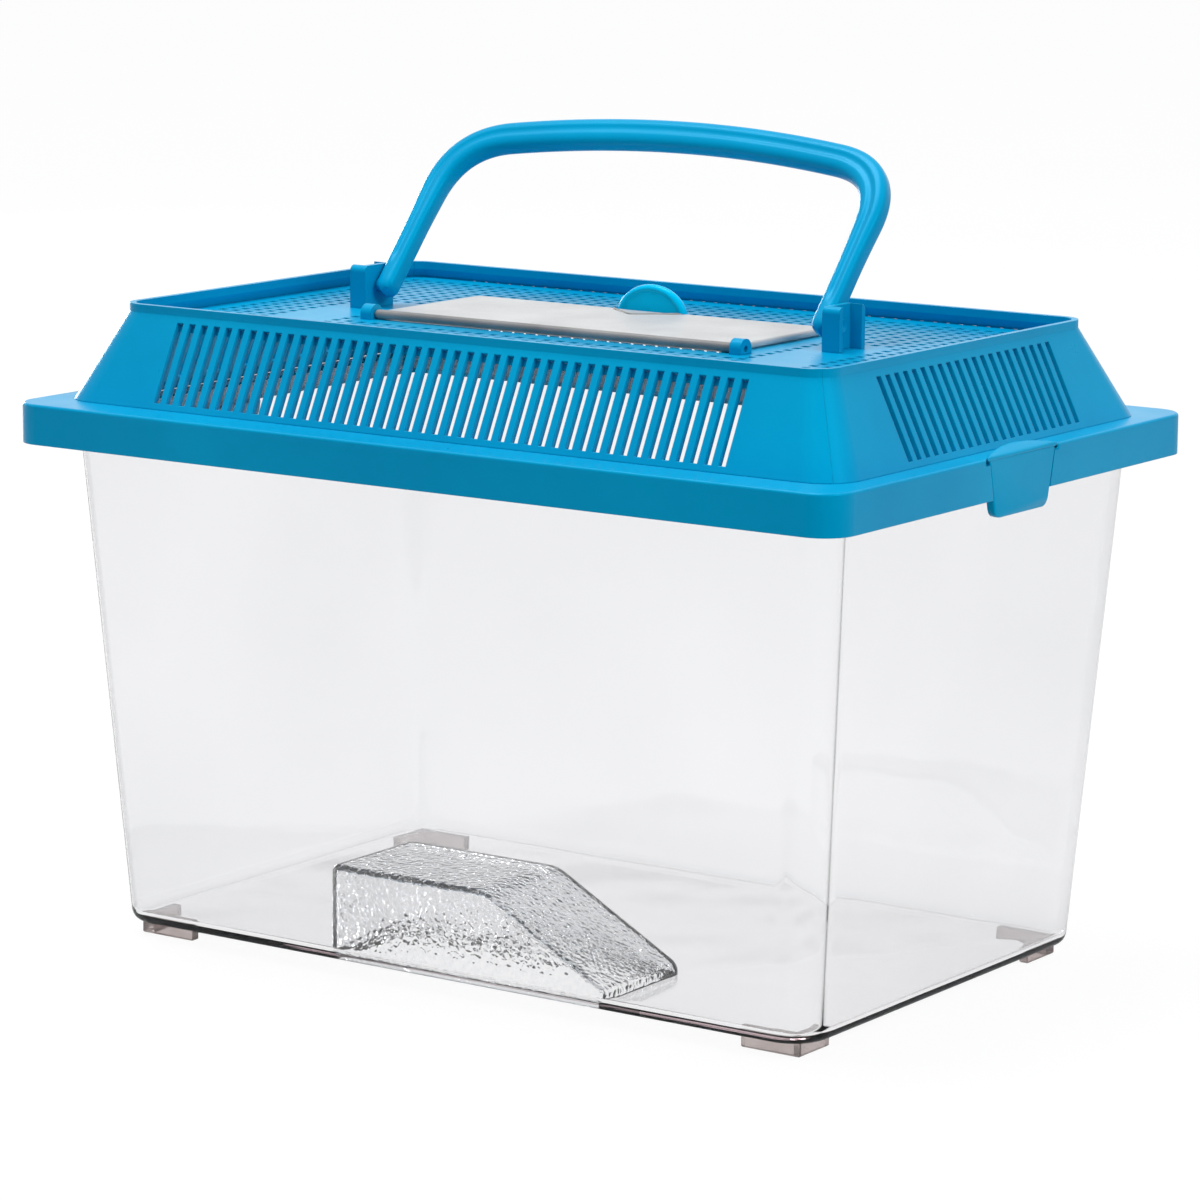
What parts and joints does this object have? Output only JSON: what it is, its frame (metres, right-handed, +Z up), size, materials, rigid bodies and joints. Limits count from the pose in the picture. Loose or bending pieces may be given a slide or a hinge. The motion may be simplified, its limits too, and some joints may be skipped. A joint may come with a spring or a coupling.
{
  "type": "acrylic aquarium",
  "caption": "Small clear tank with a moulded basking step, and a vented lift-off lid with carrying handle, feeding hatch and end latches.",
  "frame": {"origin": "on the table, under the middle of the tank", "axes": "+X along the long side, -Y to the front, +Z up"},
  "size_m": [0.3, 0.205, 0.2548],
  "materials": {
    "clear_plastic": "clear moulded acrylic, polished",
    "blue_plastic": "glossy blue moulded plastic",
    "frosted_plastic": "translucent frosted plastic"
  },
  "bodies": {
    "tank": {"tank": "clear_plastic", "tank_rim": "clear_plastic", "basking_island": "clear_plastic"},
    "lid": {"lid_flange": "blue_plastic", "front_vent": "blue_plastic", "right_vent": "blue_plastic", "back_vent": "blue_plastic", "left_vent": "blue_plastic", "deck_left": "blue_plastic", "deck_right": "blue_plastic", "deck_front": "blue_plastic", "deck_back": "blue_plastic", "handle_lug_left": "blue_plastic", "handle_lug_right": "blue_plastic", "hatch_socket_left": "blue_plastic", "hatch_socket_right": "blue_plastic", "hatch_catch": "blue_plastic"},
    "handle": {"handle": "blue_plastic"},
    "feeding_hatch": {"feeding_hatch": "frosted_plastic"},
    "latch_left": {"latch_left": "blue_plastic"},
    "latch_right": {"latch_right": "blue_plastic"}
  },
  "joints": [
    {"name": "lid_lift", "type": "slide", "parent": "tank", "child": "lid", "axis": [0, 0, 1], "range_m": [0, 0.06]},
    {"name": "handle_swing", "type": "hinge", "parent": "lid", "child": "handle", "pos_m": [0, 0, 0.2015], "axis": [1, 0, 0], "range_deg": [-48, 130]},
    {"name": "hatch_hinge", "type": "hinge", "parent": "lid", "child": "feeding_hatch", "pos_m": [0, -0.0257, 0.196], "axis": [1, 0, 0], "range_deg": [0, 110]},
    {"name": "latch_left_rock", "type": "hinge", "parent": "lid", "child": "latch_left", "pos_m": [-0.1489, 0, 0.1689], "axis": [0, 1, 0], "range_deg": [0, 12], "stiffness_Nm_per_rad": 0.2},
    {"name": "latch_right_rock", "type": "hinge", "parent": "lid", "child": "latch_right", "pos_m": [0.1489, 0, 0.1689], "axis": [0, -1, 0], "range_deg": [0, 12], "stiffness_Nm_per_rad": 0.2}
  ]
}
